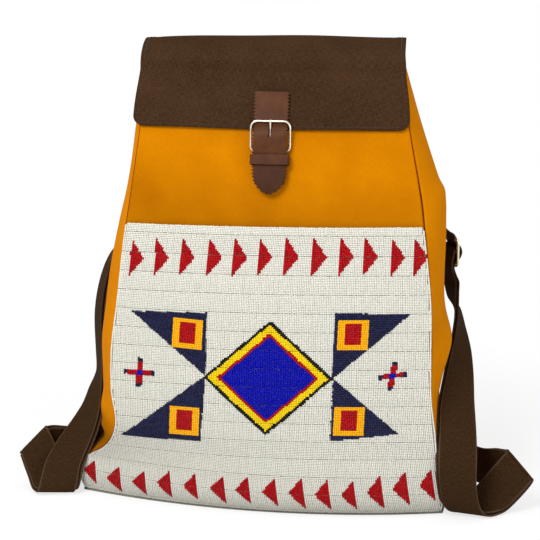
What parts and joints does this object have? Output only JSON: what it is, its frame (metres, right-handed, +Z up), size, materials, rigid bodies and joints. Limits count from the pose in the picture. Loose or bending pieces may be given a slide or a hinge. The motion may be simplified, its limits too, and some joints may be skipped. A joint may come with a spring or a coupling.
{
  "type": "beaded backpack",
  "caption": "Wedge-shaped canvas backpack with a bead-embroidered front panel, a buckled flap and two adjustable webbing shoulder straps.",
  "frame": {"origin": "on the floor, under the middle of the bag's base", "axes": "+Z up, +Y from the beaded front to the back, +X to the bag's right as seen from the front"},
  "size_m": [0.5458, 0.1923, 0.4832],
  "materials": {
    "mustard_canvas": "matt woven canvas",
    "brown_canvas": "matt heathered canvas",
    "grey_canvas": "matt canvas",
    "lining_cotton": "matt cotton",
    "fibre_board": "matt fibre board",
    "ivory_beads": "opaque glossy glass seed beads",
    "navy_beads": "opaque glossy glass seed beads",
    "yellow_beads": "opaque glossy glass seed beads",
    "orange_beads": "opaque glossy glass seed beads",
    "red_beads": "opaque glossy glass seed beads",
    "blue_beads": "opaque glossy glass seed beads",
    "brown_leather": "smooth grained leather",
    "pale_gold_metal": "polished pale gold plating",
    "brown_webbing": "coarse cotton webbing"
  },
  "bodies": {
    "bag": {"front_panel": "mustard_canvas", "gusset_left": "mustard_canvas", "gusset_right": "mustard_canvas", "back_panel": "mustard_canvas", "base_panel": "grey_canvas", "base_board": "fibre_board", "lining": "lining_cotton", "flap": "brown_canvas", "flap_lining": "lining_cotton", "bead_panel": "ivory_beads", "diamond_outline": "navy_beads", "diamond_yellow_band": "yellow_beads", "diamond_red_line": "red_beads", "diamond_blue_field": "blue_beads", "wing_upper_left": "navy_beads", "square_upper_left": "orange_beads", "square_centre_upper_left": "red_beads", "wing_upper_right": "navy_beads", "square_upper_right": "orange_beads", "square_centre_upper_right": "red_beads", "wing_lower_left": "navy_beads", "square_lower_left": "orange_beads", "square_centre_lower_left": "red_beads", "wing_lower_right": "navy_beads", "square_lower_right": "orange_beads", "square_centre_lower_right": "red_beads", "cross_left": "red_beads", "cross_right": "red_beads", "flap_strap": "brown_leather", "buckle_chape": "brown_leather", "keeper_loop": "brown_leather", "shoulder_strap_right": "brown_webbing", "slider_right": "pale_gold_metal", "lower_ring_right": "pale_gold_metal", "lower_tab_right": "brown_webbing", "shoulder_strap_left": "brown_webbing", "slider_left": "pale_gold_metal", "lower_ring_left": "pale_gold_metal", "lower_tab_left": "brown_webbing", "strap_yoke": "brown_canvas"},
    "frame": {"buckle_frame": "pale_gold_metal"},
    "prong": {"buckle_prong": "pale_gold_metal"}
  },
  "joints": [
    {"name": "buckle_swing", "type": "hinge", "parent": "bag", "child": "frame", "pos_m": [0.0045, -0.04101, 0.37726], "axis": [1, 0, 0], "range_deg": [0, 6]},
    {"name": "prong_lift", "type": "hinge", "parent": "frame", "child": "prong", "pos_m": [0.0045, -0.04101, 0.37726], "axis": [1, 0, 0], "range_deg": [0, 3]}
  ]
}
